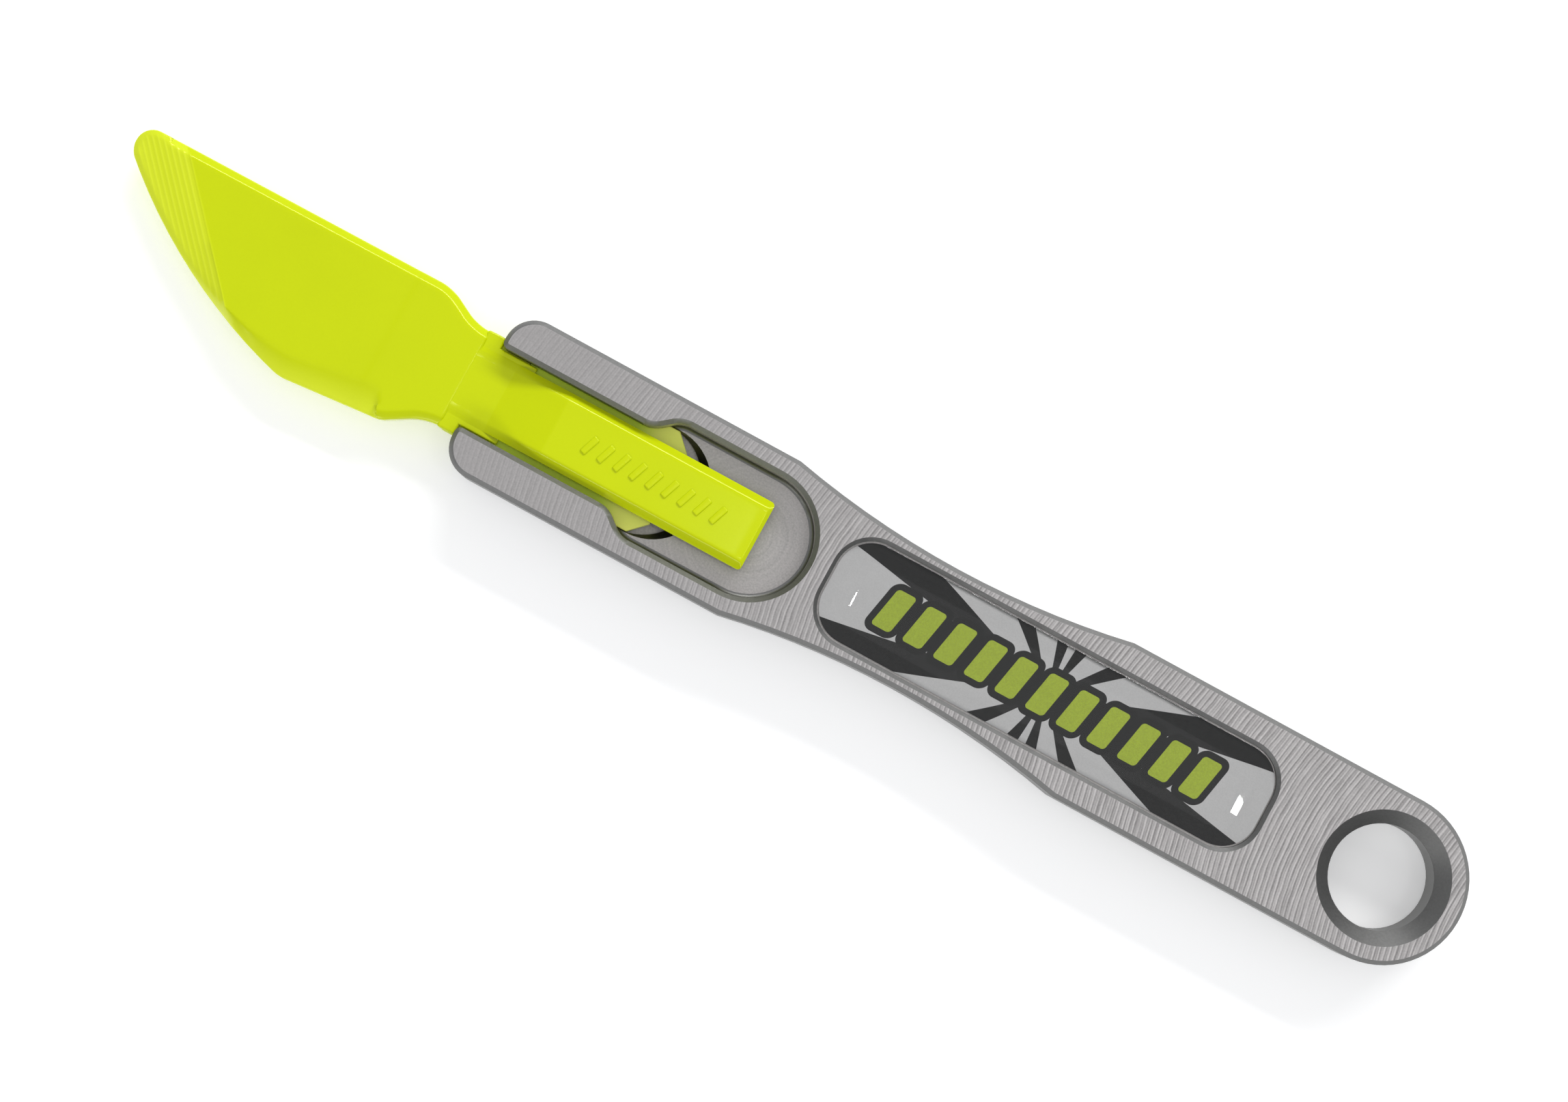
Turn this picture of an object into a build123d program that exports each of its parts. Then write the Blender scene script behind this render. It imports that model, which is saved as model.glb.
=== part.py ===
from build123d import *
from math import cos, radians, sin, sqrt
import os

# Hand-held tucking knife: a flat forked handle that holds an exchangeable moulded blade.
# Millimetres. +X runs to the blade's tip, +Z out of the labelled face. The origin is on the back
# face, at the middle of the whole tool. A distance "back" is measured from the prong tips towards
# the hanging hole, and "ahead" from the prong tips towards the blade's tip.

# ---- handle
handle_length = 140.8
handle_width = 22.0
handle_thickness = 8.0
edge_chamfer = 0.6
waist_start = 40.1  # back
waist_length = 48.0
waist_depth = 2.46  # on each side
prong_outer_radius = 4.0
prong_inner_radius = 0.8

# ---- hanging hole
hang_bore_radius = 6.8
hang_chamfer = 1.85

# ---- fork: a slot with a T-groove under its lips, which opens into a finger pocket
prong_width = 5.28  # slot wall to handle side
lip_overhang = 1.66  # lip's cover over the groove
slot_straight = 20.3
slot_flare = 5.6  # length of the S-shaped widening
pocket_side_wall = 2.8
pocket_round_at = 38.8  # back, centre of the pocket's round end
pocket_floor_radius = 0.6
back_wall = 1.6
groove_height = 2.8
groove_round_at = 23.4  # back, centre of the groove's round end
groove_ramp_run = 1.4
lip_underside_step = 0.4  # pocket floor below the lips' underside

# ---- label and its pocket
label_front_gap = 3.15  # finger pocket to label pocket
label_rear_gap = 8.5  # label pocket to the hole's chamfer
label_side_margin = 1.55  # at the narrowest part of the waist
label_pocket_depth = 1.0
label_pocket_chamfer = 0.5
label_pocket_radius = 4.9
label_clearance = 0.25
adhesive_thickness = 0.15
film_thickness = 0.15
dome_height = 1.0
dome_edge_radius = 0.8

# ---- blade insert
blade_reach = 53.6  # ahead
blade_thickness = 2.8
spine_offset = 9.4
spine_taper = 0.3  # how much nearer the spine is at the tip
belly_offset = 11.04  # before the belly is rounded
belly_at = 23.2  # ahead
heel_offset = 9.75
heel_at = 9.2  # ahead
neck_at = 4.3  # ahead, end of the parallel neck
neck_half_width = 6.8
flange_ahead = 2.2  # how far the flange stands out of the fork
flange_half = 6.95
flange_top_rise = 0.5  # above the lips' underside
flange_gap = 0.12  # to the prong tips
nose_width = 3.7  # flat of the nose before it is rounded
edge_bulge = 2.1  # of the long curved edge
tip_radius = 2.4
belly_radius = 5.0
shoulder_radius = 6.5
heel_radius = 3.0
blade_edge_break = 0.35
facet_width = 6.4
facet_corner = 2.7  # along the nose, from the spine's line
facet_drop = 1.7
facet_angle = 41.8  # between the facet's ridge line and the Y axis

# ---- tongue and rails
slide_clearance = 0.1  # rails to the groove, above and below
rail_clearance = 0.34  # rails to the groove, each side
tongue_clearance = 0.9  # tongue to the slot, each side
shoulder_clearance = 0.22  # shoulders to the slot, each side
tongue_float = 0.8  # over the pocket floor
tongue_recess = 0.8  # below the handle's face
tongue_edge_chamfer = 0.5
finger_gap = 7.1  # tongue end to the pocket's end
neck_rise = 1.0  # neck's face above the lips' underside
ramp_start = 2.9  # back
ramp_end = 10.8  # back
rail_end = 5.2  # back, where the snap arms start
web_end = 8.0  # back
web_inset = 0.6
rib_count = 9
rib_first = 15.8  # back
rib_pitch = 2.3
rib_width = 0.9
rib_reach = 2.6
rib_height = 0.3
rib_slant = -20.0  # degrees

# ---- snap arms
arm_width = 1.9
arm_wall_clearance = 0.48  # arm to the groove's wall
head_wall_clearance = 0.15
head_length = 3.5
head_lead = 1.2
head_nose = 2.4  # length of the 45 degree end
head_nose_blunt = 1.2
knuckle_clearance = 0.04
stop_clearance = 0.05

overlap = 0.5  # how far joined or cutting solids run on past each other

# ---- worked out from the sizes above
half_width = handle_width / 2
tip_x = (handle_length + blade_reach) / 2 - blade_reach
hole_x = tip_x - handle_length + half_width
slot_half = half_width - prong_width
groove_half = slot_half + lip_overhang
pocket_half = half_width - pocket_side_wall
pocket_end = pocket_round_at + pocket_half
lip_underside = back_wall + groove_height
pocket_floor = lip_underside - lip_underside_step
label_length = (
    handle_length - half_width - hang_bore_radius - hang_chamfer - label_rear_gap
    - pocket_end - label_front_gap
)
label_width = handle_width - 2 * (waist_depth + label_side_margin)
label_x = tip_x - pocket_end - label_front_gap - label_length / 2
rail_half = groove_half - rail_clearance
rail_bottom = back_wall + slide_clearance
rail_top = lip_underside - slide_clearance
flange_top = lip_underside + flange_top_rise
shoulder_half = slot_half - shoulder_clearance
tongue_half = slot_half - tongue_clearance
tongue_bottom = pocket_floor + tongue_float
tongue_top = handle_thickness - tongue_recess
tongue_end = pocket_end - finger_gap
neck_top = lip_underside + neck_rise
blade_bottom = neck_top - blade_thickness
arm_outer = groove_half - arm_wall_clearance
arm_middle = arm_outer - arm_width / 2
head_half = groove_half - head_wall_clearance
head_stop = groove_round_at + sqrt(groove_half**2 - head_half**2) - stop_clearance


def back(distance, y=0.0):
    """A point in plan, behind the prong tips."""
    return (tip_x - distance, y)


def ahead(distance, y=0.0):
    """A point in plan, in front of the prong tips."""
    return (tip_x + distance, y)


def prism(face, bottom, top):
    """The solid over a plan face between two heights."""
    return extrude(Pos(0, 0, bottom) * face, top - bottom, dir=(0, 0, 1))


def block(back_start, back_end, half, bottom, top):
    """A box across the tool's axis, between two distances behind the prong tips."""
    centre = tip_x - (back_start + back_end) / 2
    return prism(Pos(centre, 0) * Rectangle(back_end - back_start, 2 * half), bottom, top)


def edges_at_height(solid, height):
    return solid.edges().filter_by_position(Axis.Z, height, height)


def handle_outline():
    """Plan of the handle: straight prongs, a waist, and a round end about the hanging hole."""
    waist_end = waist_start + waist_length
    waist_middle = waist_start + waist_length / 2
    half_outline = [
        Line(back(0), back(0, half_width)),
        Line(back(0, half_width), back(waist_start, half_width)),
        ThreePointArc(
            back(waist_start, half_width),
            back(waist_middle, half_width - waist_depth),
            back(waist_end, half_width),
        ),
        Line(back(waist_end, half_width), (hole_x, half_width)),
        ThreePointArc(
            (hole_x, half_width),
            (hole_x - half_width * cos(radians(45)), half_width * sin(radians(45))),
            (hole_x - half_width, 0),
        ),
    ]
    other_half = [edge.mirror(Plane.XZ) for edge in half_outline]
    face = make_face(half_outline + other_half)
    corners = face.vertices().group_by(Axis.X)[-1].filter_by(lambda v: abs(v.Y) > half_width / 2)
    return fillet(corners, prong_outer_radius)


def fork_opening():
    """Plan of the slot, its S-shaped widening and the round finger pocket."""
    flare_end = slot_straight + slot_flare
    half_outline = [
        Line(ahead(1), ahead(1, slot_half)),
        Line(ahead(1, slot_half), back(slot_straight, slot_half)),
        Spline(
            back(slot_straight, slot_half),
            back(flare_end, pocket_half),
            tangents=[(-1, 0), (-1, 0)],
        ),
        Line(back(flare_end, pocket_half), back(pocket_round_at, pocket_half)),
        ThreePointArc(
            back(pocket_round_at, pocket_half),
            back(
                pocket_round_at + pocket_half * cos(radians(45)),
                pocket_half * sin(radians(45)),
            ),
            back(pocket_end),
        ),
    ]
    other_half = [edge.mirror(Plane.XZ) for edge in half_outline]
    return make_face(half_outline + other_half)


def label_outline(shrink):
    """Plan of the label pocket, or of a layer that is smaller all round."""
    return Pos(label_x, 0) * RectangleRounded(
        label_length - 2 * shrink, label_width - 2 * shrink, label_pocket_radius - shrink
    )


def make_handle():
    body = prism(handle_outline(), 0, handle_thickness)

    pocket = prism(fork_opening(), pocket_floor, handle_thickness + overlap)
    pocket = fillet(edges_at_height(pocket, pocket_floor), pocket_floor_radius)
    body -= pocket

    groove_run = Pos(tip_x - (groove_round_at - overlap) / 2, 0) * Rectangle(
        groove_round_at + overlap, 2 * groove_half
    )
    groove_round = Pos(tip_x - groove_round_at, 0) * Circle(groove_half)
    body -= prism(groove_run + groove_round, back_wall, lip_underside)
    ramp_base = Pos(0, 0, pocket_floor - groove_ramp_run) * groove_round
    ramp_travel = groove_ramp_run + lip_underside_step
    body -= extrude(ramp_base, ramp_travel * sqrt(2), dir=(-1, 0, 1))

    mouth_edges = body.edges().filter_by(Axis.Z).filter_by(
        lambda e: abs(e.center().X - tip_x) < 0.01 and abs(abs(e.center().Y) - slot_half) < 0.01
    )
    body = fillet(mouth_edges, prong_inner_radius)
    body = chamfer(edges_at_height(body, handle_thickness), edge_chamfer)
    body = chamfer(edges_at_height(body, 0), edge_chamfer)

    hole_depth = handle_thickness / 2
    body -= Pos(hole_x, 0, hole_depth) * Cylinder(hang_bore_radius, handle_thickness + 2)
    countersink = Cone(hang_bore_radius, hang_bore_radius + hang_chamfer, hang_chamfer)
    body -= Pos(hole_x, 0, handle_thickness - hang_chamfer / 2) * countersink
    body -= Pos(hole_x, 0, hang_chamfer / 2) * Rot(180, 0, 0) * countersink

    pocket_level = handle_thickness - label_pocket_depth
    label_pocket = prism(label_outline(0), pocket_level, handle_thickness)
    flare = extrude(
        Pos(0, 0, handle_thickness - label_pocket_chamfer) * label_outline(0),
        label_pocket_chamfer,
        taper=-45,
    )
    return body - label_pocket - flare


def blade_outline():
    """Plan of the blade: neck, shoulders, straight spine, round tip, long curved edge, belly."""
    tip_spine = ahead(blade_reach, -spine_offset + spine_taper)
    edge_start = ahead(blade_reach, tip_spine[1] + nose_width)
    belly = ahead(belly_at, belly_offset)
    chord = Vector(*belly) - Vector(*edge_start)
    outward = Vector(chord.Y, -chord.X).normalized()
    edge_middle = Vector(*edge_start) + chord * 0.5 + outward * edge_bulge
    corners = [
        ahead(flange_ahead, -neck_half_width),
        ahead(neck_at, -neck_half_width),
        ahead(heel_at, -spine_offset),
        tip_spine,
        edge_start,
    ]
    belly_side = [
        belly,
        ahead(heel_at, heel_offset),
        ahead(neck_at, neck_half_width),
        ahead(flange_ahead, neck_half_width),
        corners[0],
    ]
    face = make_face(
        [
            Polyline(*corners),
            ThreePointArc(edge_start, edge_middle, belly),
            Polyline(*belly_side),
        ]
    )
    radii = [
        (corners[1], shoulder_radius),
        (corners[2], shoulder_radius),
        (tip_spine, tip_radius),
        (edge_start, tip_radius),
        (belly, belly_radius),
        (belly_side[1], heel_radius),
        (belly_side[2], shoulder_radius),
    ]
    for point, radius in radii:
        corner = face.vertices().sort_by_distance(Vector(*point))[0]
        face = fillet(corner, radius)
    return face


def make_blade():
    """The blade plate, with a sloping facet along its curved edge."""
    plate = prism(blade_outline(), blade_bottom, neck_top)
    rim = edges_at_height(plate, neck_top) + edges_at_height(plate, blade_bottom)
    front_rim = rim.filter_by(lambda e: e.center().X > tip_x + flange_ahead + 0.1)
    plate = chamfer(front_rim, blade_edge_break)
    toward_edge = Vector(cos(radians(facet_angle)), sin(radians(facet_angle)), 0)
    tip_point = Vector(tip_x + blade_reach, -spine_offset + facet_corner, neck_top)
    ridge_point = tip_point - toward_edge * facet_width
    facet_normal = Vector(
        toward_edge.X * facet_drop, toward_edge.Y * facet_drop, facet_width
    ).normalized()
    facet = Plane(origin=ridge_point, z_dir=facet_normal)
    return split(plate, bisect_by=facet, keep=Keep.BOTTOM)


def make_tongue():
    """The tongue over the pocket floor, its ramp up from the neck, and the grip ribs on it."""
    side = Polyline(
        (tip_x + flange_ahead + overlap, tongue_bottom),
        (tip_x - tongue_end, tongue_bottom),
        (tip_x - tongue_end, tongue_top),
        (tip_x - ramp_end, tongue_top),
        (tip_x - ramp_start, neck_top),
        (tip_x + flange_ahead + overlap, neck_top),
        close=True,
    )
    profile = Plane.XZ * make_face(side)
    tongue = extrude(profile, tongue_half, both=True)
    tongue = chamfer(edges_at_height(tongue, tongue_top).filter_by(Axis.X), tongue_edge_chamfer)
    rib_face = Rot(0, 0, rib_slant) * Rectangle(rib_width, rib_reach)
    for number in range(rib_count):
        rib_at = Pos(tip_x - rib_first - number * rib_pitch, 0)
        tongue += prism(rib_at * rib_face, tongue_top - rib_height, tongue_top + rib_height)
    return tongue


def make_blade_insert():
    """One moulding: blade, neck, rails in the groove, web and tongue."""
    rails = block(-flange_gap, rail_end, rail_half, rail_bottom, rail_top)
    flange = block(-flange_ahead - overlap, -flange_gap, flange_half, rail_bottom, flange_top)
    shoulders = block(-flange_ahead, rail_end, shoulder_half, rail_bottom, flange_top)
    web = block(rail_end - overlap, web_end, tongue_half - web_inset, rail_bottom, tongue_bottom)
    insert = make_blade() + flange + rails + shoulders + web + make_tongue()
    for side in (1, -1):
        seat = Pos(*back(rail_end, side * arm_middle)) * Circle(arm_width / 2 + knuckle_clearance)
        insert -= prism(seat, rail_bottom - overlap, rail_top + slide_clearance)
    return insert


def make_snap_arm(side):
    """Sprung arm with a round root, and a head that stops at the groove's round end."""
    head_start = head_stop - head_length
    nose_end = head_stop + head_nose
    inner = arm_outer - arm_width
    outline = Polyline(
        back(rail_end, side * inner),
        back(rail_end, side * arm_outer),
        back(head_start, side * arm_outer),
        back(head_start + head_lead, side * head_half),
        back(head_stop, side * head_half),
        back(nose_end, side * (head_half - head_nose)),
        back(nose_end - head_nose_blunt, side * (inner - head_nose_blunt / 2)),
        back(head_start, side * inner),
        close=True,
    )
    root = Pos(*back(rail_end, side * arm_middle)) * Circle(arm_width / 2)
    return prism(make_face(outline) + root, rail_bottom, rail_top)


def make_label_layer(bottom, thickness):
    return prism(label_outline(label_clearance), bottom, bottom + thickness)


def make_label_dome(bottom):
    """Clear cast dome over the printed film, rounded off all the way round."""
    slab = make_label_layer(bottom, dome_height)
    return fillet(edges_at_height(slab, bottom + dome_height), dome_edge_radius)


label_level = handle_thickness - label_pocket_depth
film_level = label_level + adhesive_thickness
dome_level = film_level + film_thickness
nodes = {
    "handle": make_handle(),
    "blade_insert": make_blade_insert(),
    "snap_arm_left": make_snap_arm(1),
    "snap_arm_right": make_snap_arm(-1),
    "label_adhesive": make_label_layer(label_level, adhesive_thickness),
    "label_film": make_label_layer(film_level, film_thickness),
    "label_dome": make_label_dome(dome_level),
}

os.makedirs("parts", exist_ok=True)
for name, shape in nodes.items():
    export_step(shape, f"parts/{name}.step")

print("tip_x", round(tip_x, 3), "hole_x", round(hole_x, 3), "label_x", round(label_x, 3))
print("label", round(label_length, 3), "by", round(label_width, 3))
print("arm root", [round(v, 3) for v in back(rail_end, arm_middle)])
print("slide to clear the fork", round(tongue_end, 3))
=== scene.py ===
from math import cos, exp, hypot, log, pi, radians, sin, sqrt, tan

import bmesh
import bpy
from mathutils import Matrix, Vector


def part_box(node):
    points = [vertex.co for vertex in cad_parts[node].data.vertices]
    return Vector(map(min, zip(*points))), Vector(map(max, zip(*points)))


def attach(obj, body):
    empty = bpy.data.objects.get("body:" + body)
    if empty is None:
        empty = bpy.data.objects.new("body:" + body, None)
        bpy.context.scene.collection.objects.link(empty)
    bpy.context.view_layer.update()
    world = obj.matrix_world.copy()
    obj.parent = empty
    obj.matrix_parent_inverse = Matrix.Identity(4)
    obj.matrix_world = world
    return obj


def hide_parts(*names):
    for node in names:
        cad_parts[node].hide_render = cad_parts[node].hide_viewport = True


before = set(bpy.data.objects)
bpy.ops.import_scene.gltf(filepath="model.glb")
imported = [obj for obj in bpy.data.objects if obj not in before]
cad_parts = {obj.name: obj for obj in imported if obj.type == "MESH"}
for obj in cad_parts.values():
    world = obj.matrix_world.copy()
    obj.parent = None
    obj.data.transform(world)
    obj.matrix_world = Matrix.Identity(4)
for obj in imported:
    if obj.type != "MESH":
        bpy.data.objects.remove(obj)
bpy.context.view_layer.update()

mm = 0.001
handleLow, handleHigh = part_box("handle")
insertLow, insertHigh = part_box("blade_insert")
filmLow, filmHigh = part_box("label_film")
domeLow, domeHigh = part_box("label_dome")
prongTip = handleHigh.x
print("frame loaded, prong tips at", round(prongTip / mm, 2), "mm")


# small tools for meshes; plan sizes are mm ahead of the prong tips until toFrame
def newPiece(name, bm, *materials):
    mesh = bpy.data.meshes.new(name)
    bm.normal_update()
    bm.to_mesh(mesh)
    bm.free()
    piece = bpy.data.objects.new(name, mesh)
    bpy.context.scene.collection.objects.link(piece)
    for material in materials:
        mesh.materials.append(material)
    return piece


def toFrame(bm):
    bmesh.ops.scale(bm, vec=(mm, mm, mm), verts=bm.verts[:])
    bmesh.ops.translate(bm, vec=(prongTip, 0, 0), verts=bm.verts[:])
    return bm


def softShade(piece, angle=32):
    piece.data.shade_smooth()
    piece.data.set_sharp_from_angle(angle=radians(angle))
    even = piece.modifiers.new("evenShading", "WEIGHTED_NORMAL")
    even.keep_sharp = True


def settle(piece):  # modifiers become part of the mesh
    graph = bpy.context.evaluated_depsgraph_get()
    final = bpy.data.meshes.new_from_object(piece.evaluated_get(graph))
    piece.modifiers.clear()
    piece.data = final


def joinShapes(piece, other, how):
    cut = piece.modifiers.new("joinShapes", "BOOLEAN")
    cut.operation = how
    cut.object = other
    cut.solver = "EXACT"
    settle(piece)
    bpy.data.objects.remove(other)


def roundEdges(bm, edges, offset, segments=3):
    bmesh.ops.bevel(
        bm, geom=list(edges), offset=offset, offset_type="OFFSET", segments=segments,
        profile=0.5, affect="EDGES", material=-1, clamp_overlap=True,
    )


def roundedPlan(corners, segments=8):  # one flat face from (x, y, corner radius)
    bm = bmesh.new()
    points = [Vector((x, y, 0)) for x, y, radius in corners]
    verts = [bm.verts.new(p) for p in points]
    bm.faces.new(verts)
    for i, (x, y, radius) in enumerate(corners):
        if radius:
            before = points[i] - points[i - 1]
            after = points[(i + 1) % len(points)] - points[i]
            reach = radius * tan(before.angle(after) / 2)
            bmesh.ops.bevel(
                bm, geom=[verts[i]], offset=reach, offset_type="OFFSET", segments=segments,
                profile=0.5, affect="VERTICES", material=-1, clamp_overlap=True,
            )
    return bm


def slab(bm, bottom, top):
    out = bmesh.ops.extrude_face_region(bm, geom=bm.faces[:], use_keep_orig=True)
    upper = {v for v in out["geom"] if isinstance(v, bmesh.types.BMVert)}
    for vert in bm.verts:
        vert.co.z = top if vert in upper else bottom
    bmesh.ops.recalc_face_normals(bm, faces=bm.faces[:])


def boxShape(low, high, rounding):
    bm = bmesh.new()
    bmesh.ops.create_cube(bm, size=1)
    bmesh.ops.scale(bm, vec=[b - a for a, b in zip(low, high)], verts=bm.verts[:])
    bmesh.ops.translate(bm, vec=[(a + b) / 2 for a, b in zip(low, high)], verts=bm.verts[:])
    roundEdges(bm, bm.edges, rounding)
    return bm


def smoothStep(low, high, value):
    t = min(max((value - low) / (high - low), 0), 1)
    return t * t * (3 - 2 * t)


def softRamp(value, soft):
    return soft * log(1 + exp(min(value / soft, 40))) if value < 30 * soft else value


def rollOver(rim, wide, deep):  # how far a rounded edge falls at a distance from the rim
    near = min(max(1 - rim / wide, 0), 1)
    return deep * (1 - sqrt(1 - near**2))


# small tools for materials
def add(tree, kind, inputs=None, **settings):
    made = tree.nodes.new("ShaderNode" + kind)
    for key, value in settings.items():
        setattr(made, key, value)
    for key, value in (inputs or {}).items():
        if isinstance(value, bpy.types.NodeSocket):
            tree.links.new(value, made.inputs[key])
        else:
            made.inputs[key].default_value = value
    return made


def calc(tree, operation, *values, clamp=False):
    made = add(tree, "Math", dict(enumerate(values)), operation=operation, use_clamp=clamp)
    return made.outputs[0]


def inside(tree, value, low, high):
    return calc(
        tree, "MULTIPLY",
        calc(tree, "GREATER_THAN", value, low), calc(tree, "LESS_THAN", value, high),
    )


def shadeOf(colour, amount):
    return [min(c * amount, 1) for c in colour]


def blendColours(tree, share, first, second):
    made = add(tree, "Mix", {0: share}, data_type="RGBA")
    for index, colour in ((6, first), (7, second)):
        if isinstance(colour, bpy.types.NodeSocket):
            tree.links.new(colour, made.inputs[index])
        else:
            made.inputs[index].default_value = (*colour, 1)
    return made.outputs[2]


def newGroup(name, takes, gives):
    group = bpy.data.node_groups.new(name, "ShaderNodeTree")
    for label, kind, value in takes:
        socket = group.interface.new_socket(label, in_out="INPUT", socket_type="NodeSocket" + kind)
        if value is not None:
            socket.default_value = value
    for label, kind in gives:
        group.interface.new_socket(label, in_out="OUTPUT", socket_type="NodeSocket" + kind)
    entry = group.nodes.new("NodeGroupInput")
    leave = group.nodes.new("NodeGroupOutput")
    return group, entry.outputs, leave.inputs


def useGroup(tree, group, inputs):
    made = add(tree, "Group", node_tree=group)
    for key, value in inputs.items():
        if isinstance(value, bpy.types.NodeSocket):
            tree.links.new(value, made.inputs[key])
        else:
            made.inputs[key].default_value = value
    return made.outputs


def newMaterial(name, **plain):
    material = bpy.data.materials.new(name)
    material.use_nodes = True
    tree = material.node_tree
    shader = tree.nodes["Principled BSDF"]
    for key, value in plain.items():
        shader.inputs[key.replace("_", " ")].default_value = value
    place = add(tree, "TexCoord").outputs["Object"]
    return material, tree, shader, place


def bumpInto(tree, shader, height, strength, distance):
    bump = add(tree, "Bump", {"Strength": strength, "Distance": distance, "Height": height})
    tree.links.new(bump.outputs["Normal"], shader.inputs["Normal"])


# effects that several finishes share
def grainGroup():
    group, takes, gives = newGroup(
        "fineGrain",
        [("Vector", "Vector", None), ("Size", "Float", 0.0002), ("Contrast", "Float", 1.0)],
        [("Tone", "Float")],
    )
    scale = calc(group, "DIVIDE", 1.0, takes["Size"])
    noise = add(
        group, "TexNoise",
        {"Vector": takes["Vector"], "Scale": scale, "Detail": 2.0, "Roughness": 0.6},
    )
    centred = calc(group, "SUBTRACT", noise.outputs[0], 0.5)
    spread = calc(group, "MULTIPLY", centred, takes["Contrast"])
    group.links.new(calc(group, "ADD", spread, 0.5, clamp=True), gives["Tone"])
    return group


# bowed marks that a face mill leaves across its path
markSize = {
    "pitch": 0.00066,  # m
    "cutterRadius": 0.045,
    "wander": 0.0003,
    "contrast": 1.5,
    "driftScale": 260.0,
    "streakStretch": 70.0,
    "streakScale": 2.6,
    "streakShare": 0.7,
    "waveShare": 0.13,
    "halfWaveShare": 0.1,
}


def feedMarkGroup():
    size = markSize
    group, takes, gives = newGroup(
        "feedMarks",
        [
            ("Vector", "Vector", None),
            ("Pitch", "Float", size["pitch"]),
            ("Cutter Radius", "Float", size["cutterRadius"]),
            ("Wander", "Float", size["wander"]),
            ("Contrast", "Float", size["contrast"]),
        ],
        [("Tone", "Float")],
    )
    axes = add(group, "SeparateXYZ", {0: takes["Vector"]}).outputs
    squared = calc(group, "MULTIPLY", axes[1], axes[1])
    bow = calc(group, "DIVIDE", squared, calc(group, "MULTIPLY", takes["Cutter Radius"], 2.0))
    bowed = calc(group, "ADD", axes[0], bow)
    drift = add(
        group, "TexNoise",
        {"Vector": takes["Vector"], "Scale": size["driftScale"], "Detail": 2.0},
    ).outputs[0]
    phase = calc(
        group, "DIVIDE", calc(group, "MULTIPLY_ADD", drift, takes["Wander"], bowed), takes["Pitch"]
    )
    along = calc(group, "MULTIPLY", axes[1], size["streakStretch"])
    broad = add(group, "CombineXYZ", {0: phase, 1: along}).outputs[0]
    streaks = add(
        group, "TexNoise",
        {"Vector": broad, "Scale": size["streakScale"], "Detail": 2.0, "Roughness": 0.6},
    ).outputs[0]
    wave = calc(group, "SINE", calc(group, "MULTIPLY", phase, 2 * pi))
    half = calc(group, "SINE", calc(group, "MULTIPLY", phase, 4 * pi))
    halfWaves = calc(group, "MULTIPLY", half, size["halfWaveShare"])
    waves = calc(group, "MULTIPLY_ADD", wave, size["waveShare"], halfWaves)
    centred = calc(group, "SUBTRACT", streaks, 0.5)
    tone = calc(group, "MULTIPLY_ADD", centred, size["streakShare"], waves)
    group.links.new(
        calc(group, "MULTIPLY_ADD", tone, takes["Contrast"], 0.5, clamp=True), gives["Tone"]
    )
    return group


# base colours
finishes = {
    "faceDark": (0.25, 0.24, 0.237),
    "faceLight": (0.64, 0.617, 0.612),
    "cutMetalShaded": (0.20, 0.20, 0.196),
    # darker base for chamfers and cut walls: painted shade for the dim reflection that tilted faces
    # take from the surroundings
    "floorMetal": (0.48, 0.462, 0.453),
    # paler lime for thinner plastic: painted glow of light shining through it
    "lime": (0.57, 0.67, 0.0),
    "limePaintedGlow": (0.72, 0.82, 0.03),
    "limeGroovePaintedLight": (0.75, 1.0, 0.05),
    # arm colours are painted light: greener in the shaded groove, paler at the better-lit heads
    "limeHeadPaintedLight": (0.94, 1.0, 0.2),
    "filmPale": (0.66, 0.66, 0.66),
    "filmDark": (0.012, 0.012, 0.012),
    "filmBlack": (0.004, 0.004, 0.004),
    "filmLime": (0.50, 0.60, 0.045),
    "backing": (0.62, 0.60, 0.56),
    "floor": (0.9, 0.9, 0.9),
}


# handle
handleSize = {
    "pocketRoundAt": 38.8,  # mm behind the prong tips, centre of the pocket's floor marks
    "pocketReach": 20.0,  # mm around that centre, walls that share the floor's finish
    "edgeBreak": 0.05,  # mm
    "levelSlack": 0.02,  # mm
    "sharpFrom": 25,  # degrees between faces, where an edge is broken
    "marksFrom": (0.04, 0.5),  # m along the handle, and the marks' contrast there
    "marksTo": (-0.02, 2.3),
}


def milledFace():
    material, tree, shader, place = newMaterial("milledFace", Metallic=1.0)
    axes = add(tree, "SeparateXYZ", {0: place}).outputs
    (nearTip, faint), (nearHole, strong) = handleSize["marksFrom"], handleSize["marksTo"]
    ends = add(
        tree, "MapRange",
        {
            "Value": axes[0],
            "From Min": nearTip, "From Max": nearHole,
            "To Min": faint, "To Max": strong,
        },
    ).outputs[0]
    marks = useGroup(tree, feedMarks, {"Vector": place, "Contrast": ends})["Tone"]
    speck = useGroup(tree, grain, {"Vector": place, "Size": 0.00022, "Contrast": 1.4})["Tone"]
    tone = calc(tree, "MULTIPLY_ADD", speck, 0.3, calc(tree, "MULTIPLY", marks, 0.7))
    colour = blendColours(tree, tone, finishes["faceDark"], finishes["faceLight"])
    tree.links.new(colour, shader.inputs["Base Color"])
    tree.links.new(calc(tree, "MULTIPLY_ADD", tone, -0.14, 0.52), shader.inputs["Roughness"])
    bumpInto(tree, shader, tone, 0.3, 0.00003)
    return material


# chamfers and cut walls: the dark base colour is painted shade, standing in for their dim
# reflections
def shadedCutEdge():
    material, tree, shader, place = newMaterial("shadedCutEdge", Metallic=1.0)
    speck = useGroup(tree, grain, {"Vector": place, "Size": 0.0003, "Contrast": 1.0})["Tone"]
    metal = finishes["cutMetalShaded"]
    colour = blendColours(tree, speck, shadeOf(metal, 0.85), shadeOf(metal, 1.15))
    tree.links.new(colour, shader.inputs["Base Color"])
    tree.links.new(calc(tree, "MULTIPLY_ADD", speck, 0.12, 0.38), shader.inputs["Roughness"])
    bumpInto(tree, shader, speck, 0.1, 0.00002)
    return material


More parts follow.
